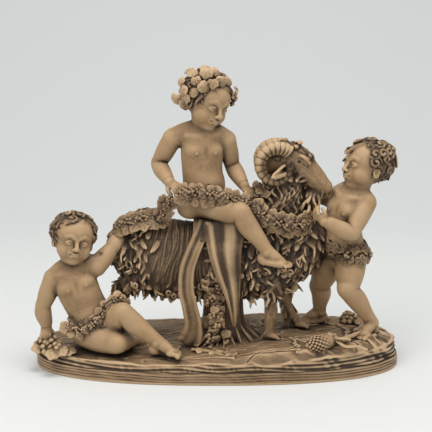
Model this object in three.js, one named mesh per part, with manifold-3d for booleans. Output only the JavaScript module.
// A fired-clay figure group on an oval rocky base: a child riding a ram, a second child seated by its rump
// and a third standing at its muzzle, all bound by a vine garland. It is made in one piece with its base,
// so it is one solid. Millimetres, +Z up, +X towards the ram's head, -Y towards the viewer, with the origin
// at the middle of the flat underside.
import * as THREE from "three";
import { mergeVertices } from "three/addons/utils/BufferGeometryUtils.js";
import Module from "manifold-3d";

const wasm = await Module();
wasm.setup();

// The oval base and the rock on it
const BASE_LENGTH = 520;
const BASE_DEPTH = 224;
const BASE_SQUARENESS = 2.4; // exponent of the oval: 2 is an ellipse, more is squarer
const FOOT_BAND = 17; // height of the plain band at the bottom
const RIM_HEIGHT = 28;
const GROUND_LOW = 31; // ground level under the seated child
const GROUND_HIGH = 43; // ground level of the rock under the standing child
const RAMP_START = -70;
const RAMP_END = 110;

// A child's head from chin to crown, which sets every girth of the three children
const HEAD = 70;

const TRIANGLES = 9900; // most triangles in the finished skin

const CLAY = "#a98b6a";
const UP = new THREE.Vector3(0, 0, 1);
const VIEWER = new THREE.Vector3(0, -1, 0);
const GOLDEN_ANGLE = Math.PI * (3 - Math.sqrt(5));
const FULL_TURN = 2 * Math.PI;

const vector = ([x, y, z]) => new THREE.Vector3(x, y, z);
const smoothstep = (low, high, value) => THREE.MathUtils.smoothstep(value, low, high);

// A three.js geometry as a solid that can be joined and cut.
function solidOf(geometry) {
  geometry.deleteAttribute("normal");
  geometry.deleteAttribute("uv");
  const merged = mergeVertices(geometry, 1e-3);
  return new wasm.Manifold(
    new wasm.Mesh({
      numProp: 3,
      vertProperties: merged.attributes.position.array,
      triVerts: new Uint32Array(merged.index.array),
    }),
  );
}

// A closed body carried along a smooth path. A station is [x, y, z, half width, half depth], and the depth
// lies as near to `front` as the path allows. `relief` scales the section by angle and by place along the
// path, and `domed` ends are rounded off where they show.
function loft(stations, { sides = 7, rings = 1, front = VIEWER, domed = true, relief = () => 1 } = {}) {
  const path = new THREE.CatmullRomCurve3(stations.map(vector));
  const girth = new THREE.CatmullRomCurve3(
    stations.map(([, , , width, depth = width]) => new THREE.Vector3(width, depth, 0)),
  );
  const steps = rings * (stations.length - 1);
  const points = [];
  const faces = [];
  const sectionAt = (t) => {
    const along = path.getTangent(t);
    const side = new THREE.Vector3().crossVectors(along, front).normalize();
    return { at: path.getPoint(t), along, side, deep: side.clone().cross(along), size: girth.getPoint(t) };
  };
  const addRing = (t, slide, shrink) => {
    const { at, along, side, deep, size } = sectionAt(t);
    for (let j = 0; j < sides; j += 1) {
      const angle = (FULL_TURN * j) / sides;
      const scale = shrink * relief(angle, t);
      const point = at
        .clone()
        .addScaledVector(along, slide * Math.min(size.x, size.y))
        .addScaledVector(side, Math.cos(angle) * size.x * scale)
        .addScaledVector(deep, Math.sin(angle) * size.y * scale);
      points.push(...point);
    }
  };
  const addPole = (t, slide) => {
    const { at, along, size } = sectionAt(t);
    points.push(...at.addScaledVector(along, slide * Math.min(size.x, size.y)));
    return points.length / 3 - 1;
  };
  if (domed) addRing(0, -0.6, 0.7);
  for (let i = 0; i <= steps; i += 1) addRing(i / steps, 0, 1);
  if (domed) addRing(1, 0.6, 0.7);
  const last = points.length / 3 - sides;
  const start = addPole(0, domed ? -0.9 : -0.3);
  const end = addPole(1, domed ? 0.9 : 0.3);
  for (let j = 0; j < sides; j += 1) {
    const next = (j + 1) % sides;
    faces.push(start, j, next, end, last + next, last + j);
    for (let i = 0; i < last; i += sides) {
      faces.push(i + j, i + sides + j, i + next, i + next, i + sides + j, i + sides + next);
    }
  }
  const geometry = new THREE.BufferGeometry();
  geometry.setAttribute("position", new THREE.Float32BufferAttribute(points, 3));
  geometry.setIndex(faces);
  return solidOf(geometry);
}

// An ellipsoid in a frame: its centre and radii are in the frame's units. `relief` scales it by direction.
function ball(frame, centre, radii, { sides = 8, rings = 6, relief = () => 1 } = {}) {
  const geometry = new THREE.SphereGeometry(1, sides, rings);
  const places = geometry.attributes.position;
  const point = new THREE.Vector3();
  for (let i = 0; i < places.count; i += 1) {
    point.fromBufferAttribute(places, i).multiplyScalar(relief(point.fromBufferAttribute(places, i)));
    places.setXYZ(i, ...point);
  }
  geometry.scale(...radii);
  geometry.translate(...centre);
  geometry.applyMatrix4(frame);
  return solidOf(geometry);
}

// A frame at a place, with Z along `facing`, Y as near up as that allows, leaned over by `roll` and scaled
// by `unit`.
function frameAt(at, facing, roll = 0, unit = 1) {
  const forward = vector(facing).normalize();
  const up = UP.clone().addScaledVector(forward, -UP.dot(forward)).normalize().applyAxisAngle(forward, roll);
  const side = new THREE.Vector3().crossVectors(up, forward);
  return new THREE.Matrix4()
    .makeBasis(side, up, forward)
    .scale(new THREE.Vector3(unit, unit, unit))
    .setPosition(vector(at));
}

// Level of the ground: low on the left, a flat rock on the right, falling away towards the rim.
function groundLevel(x, y) {
  const plateau = THREE.MathUtils.lerp(GROUND_LOW, GROUND_HIGH, smoothstep(RAMP_START, RAMP_END, x));
  const out = ovalShare(x, y);
  const ripple = 1.6 * Math.sin(x / 17 + y / 29) * Math.cos(y / 15 - x / 41);
  return THREE.MathUtils.lerp(plateau + ripple, RIM_HEIGHT, smoothstep(0.82, 1, out));
}

// How far out a point of the base lies: 0 at the middle, 1 on the outline.
function ovalShare(x, y) {
  const n = BASE_SQUARENESS;
  return (Math.abs((2 * x) / BASE_LENGTH) ** n + Math.abs((2 * y) / BASE_DEPTH) ** n) ** (1 / n);
}

function ovalPoint(angle, share) {
  const power = 2 / BASE_SQUARENESS;
  const [c, s] = [Math.cos(angle), Math.sin(angle)];
  return [
    (share * BASE_LENGTH * Math.sign(c) * Math.abs(c) ** power) / 2,
    (share * BASE_DEPTH * Math.sign(s) * Math.abs(s) ** power) / 2,
  ];
}

// Rings of the oval from the underside up the banded edge and in over the rock, closed at both middles.
function rockyBase() {
  const sides = 36;
  const edge = [
    { share: 1, z: 0 },
    { share: 1, z: FOOT_BAND - 2 },
    { share: 0.985, z: FOOT_BAND },
    { share: 0.99, z: RIM_HEIGHT - 2 },
  ];
  const top = [0.94, 0.78, 0.5, 0.22].map((share) => ({ share }));
  const levels = [...edge, ...top];
  const points = [];
  const faces = [];
  for (const { share, z } of levels) {
    for (let j = 0; j < sides; j += 1) {
      const [x, y] = ovalPoint((FULL_TURN * j) / sides, share);
      points.push(x, y, z ?? groundLevel(x, y));
    }
  }
  points.push(0, 0, 0, 0, 0, groundLevel(0, 0));
  const under = levels.length * sides;
  const last = under - sides;
  for (let j = 0; j < sides; j += 1) {
    const next = (j + 1) % sides;
    faces.push(under, next, j, under + 1, last + j, last + next);
    for (let i = 0; i < last; i += sides) {
      faces.push(i + j, i + next, i + sides + j, i + next, i + sides + next, i + sides + j);
    }
  }
  const geometry = new THREE.BufferGeometry();
  geometry.setAttribute("position", new THREE.Float32BufferAttribute(points, 3));
  geometry.setIndex(faces);
  return solidOf(geometry);
}

// A lobed vine leaf: a star outline, raised in the middle, with a root sunk into what carries it.
function leaf(at, outward, along, size, lobes = 3) {
  const out = vector(outward).normalize();
  const tip = vector(along).addScaledVector(out, -vector(along).dot(out)).normalize();
  const side = new THREE.Vector3().crossVectors(out, tip);
  const middle = vector(at);
  const points = [];
  const faces = [];
  for (let j = 0; j < 2 * lobes; j += 1) {
    const angle = (Math.PI * j) / lobes;
    const reach = size * (j % 2 ? 0.6 : 1);
    points.push(
      ...middle
        .clone()
        .addScaledVector(tip, Math.cos(angle) * reach)
        .addScaledVector(side, Math.sin(angle) * reach),
    );
  }
  points.push(...middle.clone().addScaledVector(out, 0.3 * size));
  points.push(...middle.clone().addScaledVector(out, -0.9 * size));
  for (let j = 0; j < 2 * lobes; j += 1) {
    const next = (j + 1) % (2 * lobes);
    faces.push(2 * lobes, j, next, 2 * lobes + 1, next, j);
  }
  const geometry = new THREE.BufferGeometry();
  geometry.setAttribute("position", new THREE.Float32BufferAttribute(points, 3));
  geometry.setIndex(faces);
  return solidOf(geometry);
}

// A leafy rope: a knobbly stem along the path, with leaves all round the side that faces `outward`.
function garland(path, { thickness = 8, leafSize = 11, spacing = 17, outward = VIEWER } = {}) {
  const curve = new THREE.CatmullRomCurve3(path.map(vector));
  const knobs = Math.round(curve.getLength() / 8);
  const stations = curve.getPoints(knobs).map((place, i) => [...place, thickness * (i % 2 ? 1.2 : 0.8)]);
  const stem = loft(stations, { sides: 5, front: UP, domed: false });
  const count = Math.round(curve.getLength() / spacing);
  const leaves = Array.from({ length: count }, (_, i) => {
    const t = (i + 0.5) / count;
    const along = curve.getTangentAt(t);
    const lean = 0.9 * Math.sin(i * GOLDEN_ANGLE);
    const out = outward.clone().applyAxisAngle(along, lean);
    const at = curve.getPointAt(t).addScaledVector(out, thickness * 0.95);
    return leaf([...at], [...out], [...along.applyAxisAngle(out, i * GOLDEN_ANGLE)], leafSize);
  });
  return [stem, ...leaves];
}

// A child's head in units of its own height: a round skull with full cheeks and a small chin, a nose, ears
// and curls.
function childHead({ at, facing, roll, height = HEAD, hair = [0.48, 0.42, 0.47] }) {
  const frame = frameAt(at, facing, roll, height);
  const bump = (point, place, width) => Math.exp((point.dot(place.clone().normalize()) - 1) / width);
  const cheeks = [-0.55, 0.55].map((x) => new THREE.Vector3(x, -0.45, 0.7));
  const chin = new THREE.Vector3(0, -0.85, 0.6);
  const face = (point) => {
    const full = bump(point, cheeks[0], 0.12) + bump(point, cheeks[1], 0.12);
    return 1 + 0.1 * full + 0.06 * bump(point, chin, 0.06);
  };
  const curls = ({ x, y, z }) =>
    1 + 0.07 * Math.sin(7 * x + 3 * z) * Math.sin(6 * y + 3) + 0.05 * Math.cos(8 * z - 3 * x);
  const ear = [0.06, 0.12, 0.08];
  return [
    ball(frame, [0, -0.04, 0], [0.4, 0.45, 0.43], { sides: 14, rings: 10, relief: face }),
    ball(frame, [0, -0.14, 0.42], [0.07, 0.08, 0.09], { sides: 4, rings: 3 }),
    ...[-1, 1].map((hand) => ball(frame, [hand * 0.4, -0.12, -0.06], ear, { sides: 5, rings: 3 })),
    ball(frame, [0, 0.15, -0.12], hair, { sides: 14, rings: 10, relief: curls }),
  ];
}

// An arm from shoulder through elbow to wrist, with a mitten hand reaching on to the fingertips and a thumb.
function childArm({ shoulder, elbow, wrist, fingers, palm = VIEWER }) {
  const [s, e, w, f] = [shoulder, elbow, wrist, fingers].map(vector);
  const mid = (a, b, share) => [...a.clone().lerp(b, share)];
  const thumbTip = w.clone().lerp(f, 0.55).addScaledVector(UP, 0.13 * HEAD);
  return [
    loft([
      [...s, 0.2 * HEAD],
      [...mid(s, e, 0.5), 0.195 * HEAD],
      [...e, 0.165 * HEAD],
      [...mid(e, w, 0.4), 0.17 * HEAD],
      [...w, 0.115 * HEAD],
    ]),
    loft(
      [
        [...w, 0.1 * HEAD, 0.09 * HEAD],
        [...mid(w, f, 0.45), 0.14 * HEAD, 0.08 * HEAD],
        [...f, 0.11 * HEAD, 0.06 * HEAD],
      ],
      { sides: 6, front: palm, domed: false },
    ),
    loft(
      [
        [...mid(w, f, 0.2), 0.05 * HEAD],
        [...thumbTip, 0.04 * HEAD],
      ],
      { sides: 4, front: palm, domed: false },
    ),
  ];
}

// A leg from hip through knee to ankle, with a foot from the heel to the toes.
function childLeg({ hip, knee, ankle, toes }) {
  const [h, k, a, t] = [hip, knee, ankle, toes].map(vector);
  const mid = (from, to, share) => [...from.clone().lerp(to, share)];
  const heel = [...a.clone().addScaledVector(t.clone().sub(a).normalize(), -0.08 * HEAD)];
  return [
    loft(
      [
        [...h, 0.33 * HEAD],
        [...mid(h, k, 0.5), 0.29 * HEAD],
        [...k, 0.21 * HEAD],
        [...mid(k, a, 0.4), 0.205 * HEAD],
        [...a, 0.13 * HEAD],
      ],
      { sides: 8 },
    ),
    loft(
      [
        [...heel, 0.11 * HEAD],
        [...mid(a, t, 0.5), 0.13 * HEAD, 0.11 * HEAD],
        [...t, 0.14 * HEAD, 0.07 * HEAD],
      ],
      { sides: 6, front: UP },
    ),
  ];
}

// A torso: a trunk up the spine, a yoke across from shoulder to shoulder, and the neck. A spine place is
// [x, y, z].
function childTorso({ spine, shoulders, nape, front }) {
  const girths = [
    [0.42, 0.38],
    [0.45, 0.4],
    [0.43, 0.4],
    [0.44, 0.37],
    [0.46, 0.34],
    [0.42, 0.3],
  ];
  const [left, right] = shoulders.map(vector);
  const top = spine[spine.length - 1];
  const yoke = [0, 0.27, 0.5, 0.73, 1].map((share) => left.clone().lerp(right, share));
  const girthOfYoke = [0.19, 0.25, 0.27, 0.25, 0.19];
  return [
    loft(
      spine.map((place, i) => [...place, girths[i][0] * HEAD, girths[i][1] * HEAD]),
      { sides: 12, front },
    ),
    loft(
      yoke.map((place, i) => [...place, girthOfYoke[i] * HEAD, girthOfYoke[i] * HEAD]),
      { sides: 8, front },
    ),
    loft([[...top, 0.2 * HEAD], [...nape, 0.2 * HEAD]], { sides: 8, domed: false }),
  ];
}

// A belt of leaves round a child's hips: a knobbly ring, open behind where its ends meet, and leaves standing
// out of it.
function hipBelt([x, y, z], width, depth, tilt) {
  const knobs = 10;
  const count = 8;
  const ring = Array.from({ length: knobs + 1 }, (_, i) => {
    const angle = (FULL_TURN * i) / knobs + Math.PI / 2;
    const girth = i % 2 ? 10 : 7;
    return [x + width * Math.cos(angle), y + depth * Math.sin(angle), z + tilt * Math.cos(angle), girth];
  });
  const leaves = Array.from({ length: count }, (_, i) => {
    const angle = (FULL_TURN * (i + 0.25)) / count;
    const out = [Math.cos(angle), Math.sin(angle), 0.15];
    const drop = i % 2 ? 5 : -5;
    const at = [x + (width + 8) * out[0], y + (depth + 8) * out[1], z + tilt * out[0] + drop];
    return leaf(at, out, [0.4 * Math.sin(5 * i), 0, -1], 12);
  });
  return [loft(ring, { sides: 5, front: UP, domed: false }), ...leaves];
}

// The child astride the ram, twisted round to face the viewer, with a wreath of big leaves on its curls.
function ridingChild() {
  const head = {
    at: [-13, -12, 376],
    facing: [0.6, -0.75, -0.26],
    roll: -0.22,
    height: 73,
    hair: [0.53, 0.45, 0.52],
  };
  const frame = frameAt(head.at, head.facing, head.roll, head.height);
  const count = 16;
  const wreathLeaves = Array.from({ length: count }, (_, i) => {
    const angle = (FULL_TURN * i) / count + 0.2;
    const rise = 0.1 + 0.42 * (i % 2) + 0.2 * Math.sin(angle);
    const out = new THREE.Vector3(Math.cos(angle), rise, Math.sin(angle) - 0.2);
    const at = new THREE.Vector3(0.54 * out.x, 0.12 + 0.42 * rise, 0.54 * out.z).applyMatrix4(frame);
    return leaf([...at], [...out.transformDirection(frame)], [0, 0, i % 2 ? 1 : -1], 14, 4);
  });
  return [
    ...childTorso({
      spine: [
        [-18, -2, 240],
        [-18, -6, 256],
        [-20, -9, 272],
        [-21, -9, 290],
        [-21, -9, 306],
        [-21, -8, 318],
      ],
      shoulders: [
        [-60, -6, 326],
        [12, 0, 322],
      ],
      nape: [-16, -8, 350],
      front: vector([0.25, -0.97, 0]),
    }),
    ...childHead(head),
    ...wreathLeaves,
    ...childArm({
      shoulder: [-63, -6, 322],
      elbow: [-82, 4, 287],
      wrist: [-66, -32, 267],
      fingers: [-50, -42, 257],
    }),
    ...childArm({
      shoulder: [16, -1, 320],
      elbow: [30, 12, 286],
      wrist: [41, -14, 261],
      fingers: [50, -24, 245],
    }),
    ...childLeg({
      hip: [-18, -17, 236],
      knee: [32, -50, 226],
      ankle: [69, -54, 176],
      toes: [93, -58, 168],
    }),
    ...childLeg({
      hip: [-14, 18, 234],
      knee: [32, 54, 210],
      ankle: [50, 62, 152],
      toes: [74, 66, 142],
    }),
  ];
}

// The child seated on the ground, one arm propping it up and one reaching to the ram's rump.
function seatedChild() {
  return [
    ...childTorso({
      spine: [
        [-172, -34, 56],
        [-176, -37, 72],
        [-183, -40, 90],
        [-190, -42, 106],
        [-196, -42, 122],
        [-198, -42, 133],
      ],
      shoulders: [
        [-227, -40, 134],
        [-170, -38, 150],
      ],
      nape: [-196, -42, 164],
      front: vector([0.15, -0.98, 0.1]),
    }),
    ...childHead({ at: [-198, -46, 189], facing: [0.3, -0.94, 0.08], roll: -0.2, height: 68 }),
    ...childArm({
      shoulder: [-230, -40, 130],
      elbow: [-244, -40, 92],
      wrist: [-241, -36, 59],
      fingers: [-240, -46, 38],
    }),
    ...childArm({
      shoulder: [-168, -38, 148],
      elbow: [-148, -22, 170],
      wrist: [-133, -8, 189],
      fingers: [-126, -2, 202],
    }),
    ...childLeg({
      hip: [-182, -44, 56],
      knee: [-138, -82, 50],
      ankle: [-118, -38, 42],
      toes: [-100, -20, 38],
    }),
    ...childLeg({
      hip: [-163, -38, 68],
      knee: [-130, -76, 91],
      ankle: [-82, -84, 53],
      toes: [-62, -90, 40],
    }),
    ...hipBelt([-173, -37, 76], 32, 29, 9),
    ...grapeBunch([-236, -48, 38], 16),
    ...grapeBunch([-222, -62, 34], 12),
  ];
}

// The child standing at the ram's muzzle, pushing back against the rock.
function standingChild() {
  return [
    ...childTorso({
      spine: [
        [180, 0, 158],
        [180, 0, 174],
        [178, 0, 190],
        [180, -1, 206],
        [184, -1, 222],
        [188, 0, 234],
      ],
      shoulders: [
        [165, 22, 234],
        [208, -16, 238],
      ],
      nape: [200, 1, 262],
      front: vector([-0.7, -0.7, 0]),
    }),
    ...childHead({ at: [209, 1, 284], facing: [-0.9, -0.38, 0.25], roll: 0.05, height: 72 }),
    ...childArm({
      shoulder: [209, -18, 234],
      elbow: [186, -43, 197],
      wrist: [148, -45, 214],
      fingers: [130, -38, 228],
    }),
    ...childArm({
      shoulder: [164, 22, 233],
      elbow: [143, 36, 238],
      wrist: [118, 36, 247],
      fingers: [102, 30, 252],
    }),
    ...childLeg({
      hip: [190, -11, 156],
      knee: [178, -35, 114],
      ankle: [219, -21, 60],
      toes: [202, -42, 50],
    }),
    ...childLeg({
      hip: [166, 16, 152],
      knee: [151, 33, 102],
      ankle: [152, 42, 58],
      toes: [133, 38, 48],
    }),
    ...hipBelt([180, 0, 166], 30, 27, -5),
  ];
}

// A bunch of grapes: a round core with a few coarse berries.
function grapeBunch(at, radius) {
  const frame = frameAt(at, [0, -1, 0]);
  const berries = [-0.7, 0, 0.7].map((turn) =>
    ball(frame, [radius * Math.sin(turn * 2), radius * 0.5 * Math.cos(turn * 2), radius * 0.6], [6, 6, 6], {
      sides: 5,
      rings: 4,
    }),
  );
  return [ball(frame, [0, 0, 0], [radius, radius * 0.7, radius], { sides: 7, rings: 4 }), ...berries];
}

// A spiral horn on one side of the ram's head; `hand` is -1 on the side of the viewer.
function ramHorn(hand) {
  const turns = 1.05;
  const steps = 10;
  const ridges = (angle, t) => 1 + 0.06 * Math.sin(20 * FULL_TURN * t);
  const stations = Array.from({ length: steps + 1 }, (_, i) => {
    const t = i / steps;
    const angle = 0.22 * Math.PI + turns * FULL_TURN * t;
    const reach = 25 * (1 - 0.5 * t);
    const out = 14 + 20 * t;
    const girth = 10.5 * (1 - 0.66 * t);
    return [77 + reach * Math.cos(angle), hand * out, 291 + 1.05 * reach * Math.sin(angle), girth];
  });
  const front = new THREE.Vector3(0, hand, 0);
  return loft(stations, { sides: 6, rings: 2, front, domed: false, relief: ridges });
}

// Long locks of fleece: pointed drops hanging from the flanks, breast, neck and rump.
function fleeceLocks() {
  const front = new THREE.Vector3(0, -2, 1);
  const lock = (x, y, z, lean, length, girth) =>
    loft(
      [
        [x, 0.85 * y, z, girth * 0.7],
        [x + lean / 2, y * 1.05, z - length / 2, girth],
        [x + lean, y, z - length, girth * 0.3],
      ],
      { sides: 4, front, domed: false },
    );
  const flank = (hand, row) =>
    Array.from({ length: 9 }, (_, i) => {
      const x = -124 + 27 * i + 13 * row;
      return lock(x, 4 + hand * (33 + 5 * row), 128 + 30 * row, 6 * Math.sin(2.3 * i), 40, 12);
    });
  const flanks = [-1, 1].flatMap((hand) => [
    ...flank(hand, 0),
    ...flank(hand, 1),
    lock(92, hand * 36, 206, 4, 40, 13),
    lock(112, hand * 28, 200, 6, 42, 13),
    lock(84, hand * 26, 246, -2, 36, 10),
    lock(104, hand * 22, 244, 2, 36, 10),
  ]);
  const breast = [-10, 8].flatMap((y) => [
    lock(134, y, 198, 2, 44, 12),
    lock(124, 1.4 * y, 158, -4, 42, 12),
  ]);
  const rump = [-14, 18].flatMap((y) => [
    lock(-140, y, 190, -2, 44, 12),
    lock(-136, 1.2 * y, 150, -2, 44, 12),
  ]);
  return [...flanks, ...breast, ...rump];
}

// The ram in profile: barrel, neck, head, horns, ears, legs and hoofs. A leg's rows are [x, y, z, half
// width, half depth].
function ram() {
  const legs = [
    [
      [78, -22, 128, 18, 18],
      [76, -27, 100, 11, 12],
      [76, -29, 76, 8, 9],
      [74, -30, 54, 7, 7],
      [78, -32, 38, 10, 9],
    ],
    [
      [95, 20, 124, 16, 16],
      [100, 23, 96, 11, 11],
      [101, 25, 74, 8, 8],
      [112, 21, 54, 7, 7],
      [122, 16, 40, 9, 8],
    ],
    [
      [-112, -12, 138, 24, 26],
      [-132, -2, 114, 15, 16],
      [-147, 8, 95, 10, 10],
      [-153, 20, 64, 7, 8],
      [-152, 26, 36, 10, 9],
    ],
    [
      [-112, 30, 138, 22, 24],
      [-130, 38, 114, 14, 15],
      [-143, 48, 95, 10, 10],
      [-148, 56, 64, 7, 8],
      [-144, 58, 36, 10, 9],
    ],
  ];
  const fleece = (angle, t) => 1 + 0.05 * Math.sin(5 * angle + 9 * t) * Math.sin(45 * t);
  const earAt = (hand) => [
    [100, hand * 14, 284, 7, 3],
    [90, hand * 28, 276, 8, 3],
    [82, hand * 36, 268, 3, 2],
  ];
  return [
    loft(
      [
        [-132, 4, 158, 27, 36],
        [-110, 4, 152, 40, 50],
        [-75, 4, 152, 43, 56],
        [-30, 4, 149, 42, 53],
        [15, 3, 148, 42, 53],
        [60, 2, 154, 44, 58],
        [95, 1, 164, 39, 56],
        [120, 0, 178, 25, 42],
      ],
      { sides: 14, rings: 2, front: UP, relief: fleece },
    ),
    loft(
      [
        [72, 2, 190, 38, 38],
        [86, 1, 218, 36, 33],
        [94, 0, 246, 30, 27],
        [97, 0, 274, 22, 21],
        [100, 0, 292, 17, 17],
      ],
      { sides: 10, domed: false },
    ),
    loft(
      [
        [82, 0, 292, 18, 20],
        [106, -2, 292, 23, 25],
        [128, -4, 275, 17, 20],
        [147, -6, 258, 11, 14],
      ],
      { sides: 9, front: UP },
    ),
    loft([[122, -4, 262, 14, 15], [138, -6, 240, 11, 11], [142, -6, 220, 3, 3]], { sides: 6, domed: false }),
    ...[-1, 1].map(ramHorn),
    ...[-1, 1].map((hand) => loft(earAt(hand), { sides: 4, front: UP, domed: false })),
    ...legs.map((leg) => loft(leg, { sides: 7, domed: false })),
    ...fleeceLocks(),
  ];
}

// The cloth under the rider, with two fluted tails that hang down the ram's near side.
function drapery() {
  const flutes = (count) => (angle, t) => 1 + 0.2 * Math.sin(count * angle + 0.6) * smoothstep(0, 0.25, t);
  return [
    loft(
      [
        [-6, -45, 196, 27, 5],
        [-6, -28, 207, 27, 6],
        [-6, 4, 211, 27, 6],
        [-6, 34, 206, 27, 6],
        [-6, 48, 192, 24, 5],
      ],
      { sides: 6, front: UP, domed: false },
    ),
    loft(
      [
        [-16, -42, 212, 13, 6],
        [-26, -48, 180, 15, 7],
        [-35, -49, 145, 15, 7],
        [-35, -48, 115, 13, 6],
        [-28, -45, 85, 13, 7],
        [-26, -41, 58, 14, 8],
        [-38, -34, 34, 20, 8],
      ],
      { sides: 10, domed: false, relief: flutes(4) },
    ),
    loft(
      [
        [11, -46, 214, 22, 6],
        [13, -51, 180, 20, 8],
        [18, -50, 145, 15, 8],
        [22, -47, 110, 9, 6],
        [23, -43, 76, 3, 4],
      ],
      { sides: 10, domed: false, relief: flutes(4) },
    ),
  ];
}

// The ivy-grown stump that carries the ram's belly, with its roots spreading over the rock.
function ivyStump() {
  const roots = (angle, t) => 1 + 0.22 * Math.sin(5 * angle) * smoothstep(0.5, 1, t);
  const leaves = Array.from({ length: 9 }, (_, i) => {
    const z = 62 + 10 * i;
    const across = 15 * Math.sin(i * GOLDEN_ANGLE);
    const at = [across * 0.8, -21 - 6 * Math.cos(across / 15), z];
    return leaf(at, [across / 20, -1, 0.2], [Math.sin(3 * i), 0, -1], 12);
  });
  return [
    loft(
      [
        [8, 0, 150, 25, 24],
        [8, -2, 110, 24, 22],
        [10, -2, 76, 25, 22],
        [14, -2, 52, 31, 26],
        [15, -2, 34, 44, 34],
      ],
      { sides: 10, domed: false, relief: roots },
    ),
    ...leaves,
  ];
}

// The garland in its three swags, over the rump, across the lap and round the ram's breast, and its way back
// behind.
function garlands() {
  const overBack = new THREE.Vector3(-0.1, -0.75, 0.65);
  const behind = { outward: new THREE.Vector3(0, 1, 0.3), spacing: 30, leafSize: 14 };
  return [
    ...garland(
      [
        [-136, -10, 200],
        [-112, -20, 206],
        [-86, -26, 212],
        [-68, -34, 226],
        [-58, -38, 250],
      ],
      { thickness: 12, leafSize: 15, outward: overBack },
    ),
    ...garland(
      [
        [-54, -40, 258],
        [-22, -40, 254],
        [8, -40, 249],
        [36, -36, 241],
        [56, -34, 230],
      ],
      { thickness: 10, leafSize: 13, outward: overBack },
    ),
    ...garland(
      [
        [54, -40, 230],
        [78, -44, 212],
        [104, -38, 204],
        [126, -22, 206],
        [134, 0, 210],
      ],
      { thickness: 10, leafSize: 14 },
    ),
    ...garland(
      [
        [-20, 46, 218],
        [20, 50, 214],
        [60, 48, 212],
        [100, 36, 206],
        [130, 14, 208],
      ],
      behind,
    ),
  ];
}

// What lies on the ground: a pine-cone staff with its ribbon, a fallen branch and flat ledges of rock.
function groundFinds() {
  const low = { sides: 4, front: UP, domed: false };
  const cone = [
    [128, -84, 42, 3],
    [134, -82, 43, 8],
    [146, -77, 45, 8],
    [155, -74, 45, 4],
  ];
  const staff = [
    [152, -75, 45, 4],
    [180, -58, 45, 4],
    [208, -28, 45, 4],
  ];
  const ribbon = [
    [158, -78, 44, 3],
    [170, -84, 46, 4],
    [180, -78, 43, 3],
  ];
  const branch = [
    [-30, -52, 32, 4],
    [-4, -76, 34, 4],
    [22, -98, 29, 3],
  ];
  const ledge = [
    [110, -60, 34, 30, 9],
    [170, -50, 36, 44, 10],
    [214, -22, 37, 40, 10],
  ];
  const boulder = [
    [196, 30, 36, 34, 14],
    [226, 4, 38, 32, 13],
  ];
  return [
    loft(cone, { ...low, sides: 6 }),
    loft(staff, low),
    loft(ribbon, low),
    loft(branch, low),
    loft(ledge, { ...low, sides: 8 }),
    loft(boulder, { ...low, sides: 8 }),
    ...grapeBunch([193, 34, 50], 10),
  ];
}

// The triangles of the outer skin alone: a pocket shut in between overlapping forms is filled, as in solid
// clay.
function outerSkin({ vertProperties, triVerts }) {
  const parent = Array.from({ length: vertProperties.length / 3 }, (_, i) => i);
  const rootOf = (i) => {
    let at = i;
    while (parent[at] !== at) at = parent[at];
    parent[i] = at;
    return at;
  };
  const corner = (i) => new THREE.Vector3().fromArray(vertProperties, 3 * i);
  const triangles = [];
  for (let i = 0; i < triVerts.length; i += 3) triangles.push([...triVerts.subarray(i, i + 3)]);
  for (const [a, b, c] of triangles) {
    parent[rootOf(a)] = rootOf(b);
    parent[rootOf(b)] = rootOf(c);
  }
  const volumes = new Map();
  for (const [a, b, c] of triangles) {
    const share = corner(a).dot(corner(b).cross(corner(c))) / 6;
    volumes.set(rootOf(a), (volumes.get(rootOf(a)) ?? 0) + share);
  }
  return triangles.filter(([a]) => volumes.get(rootOf(a)) > 0);
}

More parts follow.
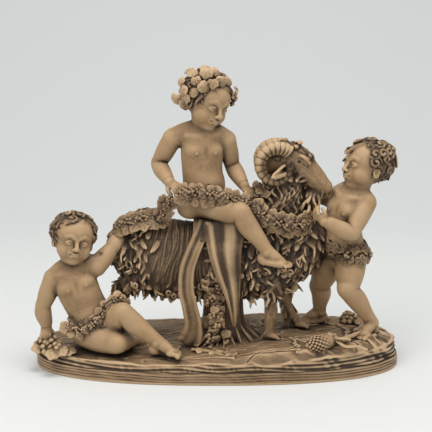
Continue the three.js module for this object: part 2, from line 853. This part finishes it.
// Draws the corners of a closed skin together, edge by edge, where that moves its planes least, down to
// `budget` triangles. A corner on the underside stays, no face turns over, and the skin stays closed.
function coarsened(places, triangles, budget) {
  const pointAt = (i) => new THREE.Vector3().fromArray(places, 3 * i);
  const points = Array.from({ length: places.length / 3 }, (_, i) => pointAt(i));
  const fixed = points.map((point) => point.z < 1);
  const around = points.map(() => new Set());
  triangles.forEach((triangle, i) => triangle.forEach((corner) => around[corner].add(i)));
  const normalOf = ([a, b, c]) =>
    new THREE.Vector3().crossVectors(points[b].clone().sub(points[a]), points[c].clone().sub(points[a]));
  const planes = points.map(() => []);
  for (const triangle of triangles) {
    const normal = normalOf(triangle);
    const area = normal.length() / 2;
    if (area < 1e-9) continue;
    normal.normalize();
    const plane = { normal, offset: -normal.dot(points[triangle[0]]), area };
    for (const corner of triangle) planes[corner].push(plane);
  }
  const errorAt = (point, near) =>
    near.reduce((sum, { normal, offset, area }) => sum + area * (normal.dot(point) + offset) ** 2, 0);
  const neighbours = (corner) => new Set([...around[corner]].flatMap((i) => triangles[i]));
  const staysUpright = (moved, gone, target) => {
    for (const i of around[moved]) {
      if (triangles[i].includes(gone)) continue;
      const before = normalOf(triangles[i]);
      const kept = points[moved];
      points[moved] = target;
      const after = normalOf(triangles[i]);
      const [a, b, c] = triangles[i].map((corner) => points[corner]);
      const longest = Math.max(a.distanceToSquared(b), b.distanceToSquared(c), c.distanceToSquared(a));
      points[moved] = kept;
      const sliver = after.length() < 0.06 * longest && after.length() < before.length();
      if (sliver || before.dot(after) < 0.35 * before.length() * after.length()) return false;
    }
    return true;
  };
  let left = triangles.length;
  let before = Infinity;
  while (left > budget && left < before) {
    before = left;
    const edges = [];
    for (const triangle of triangles) {
      if (!triangle) continue;
      triangle.forEach((a, k) => {
        const b = triangle[(k + 1) % 3];
        if (a > b || (fixed[a] && fixed[b])) return;
        const near = [...planes[a], ...planes[b]];
        const middle = points[a].clone().lerp(points[b], 0.5);
        const choices = fixed[a] ? [points[a]] : fixed[b] ? [points[b]] : [middle, points[a], points[b]];
        const [best] = choices
          .map((target) => ({ target, error: errorAt(target, near) }))
          .sort((p, q) => p.error - q.error);
        edges.push({ a, b, ...best });
      });
    }
    edges.sort((p, q) => p.error - q.error);
    const touched = new Set();
    for (const { a, b, target } of edges.slice(0, Math.ceil(edges.length / 6))) {
      if (left <= budget) break;
      if (touched.has(a) || touched.has(b)) continue;
      const nearA = neighbours(a);
      const shared = [...neighbours(b)].filter((corner) => nearA.has(corner) && corner !== a && corner !== b);
      if (shared.length !== 2 || !staysUpright(a, b, target) || !staysUpright(b, a, target)) continue;
      points[a] = target.clone();
      planes[a].push(...planes[b]);
      fixed[a] ||= fixed[b];
      for (const i of around[b]) {
        if (triangles[i].includes(a)) {
          for (const corner of triangles[i]) if (corner !== b) around[corner].delete(i);
          triangles[i] = null;
          left -= 1;
        } else {
          triangles[i] = triangles[i].map((corner) => (corner === b ? a : corner));
          around[a].add(i);
        }
      }
      around[b].clear();
      for (const corner of neighbours(a)) touched.add(corner);
    }
  }
  return { places: points.flatMap((point) => [...point]), faces: triangles.filter(Boolean).flat() };
}

const pieces = [
  rockyBase(),
  ...groundFinds(),
  ...ivyStump(),
  ...ram(),
  ...drapery(),
  ...ridingChild(),
  ...seatedChild(),
  ...standingChild(),
  ...garlands(),
];
const fused = pieces.reduce((whole, piece) => whole.add(piece)).getMesh();
const { places, faces } = coarsened(fused.vertProperties, outerSkin(fused), TRIANGLES);

const geometry = new THREE.BufferGeometry();
geometry.setAttribute("position", new THREE.Float32BufferAttribute(places, 3));
geometry.setIndex(faces);
geometry.computeVertexNormals();

const clay = new THREE.MeshStandardMaterial({ color: CLAY, roughness: 0.85, metalness: 0 });
const figureGroup = new THREE.Mesh(geometry, clay);
figureGroup.name = "terracotta_group";

const part = new THREE.Group();
part.add(figureGroup);
export default part;
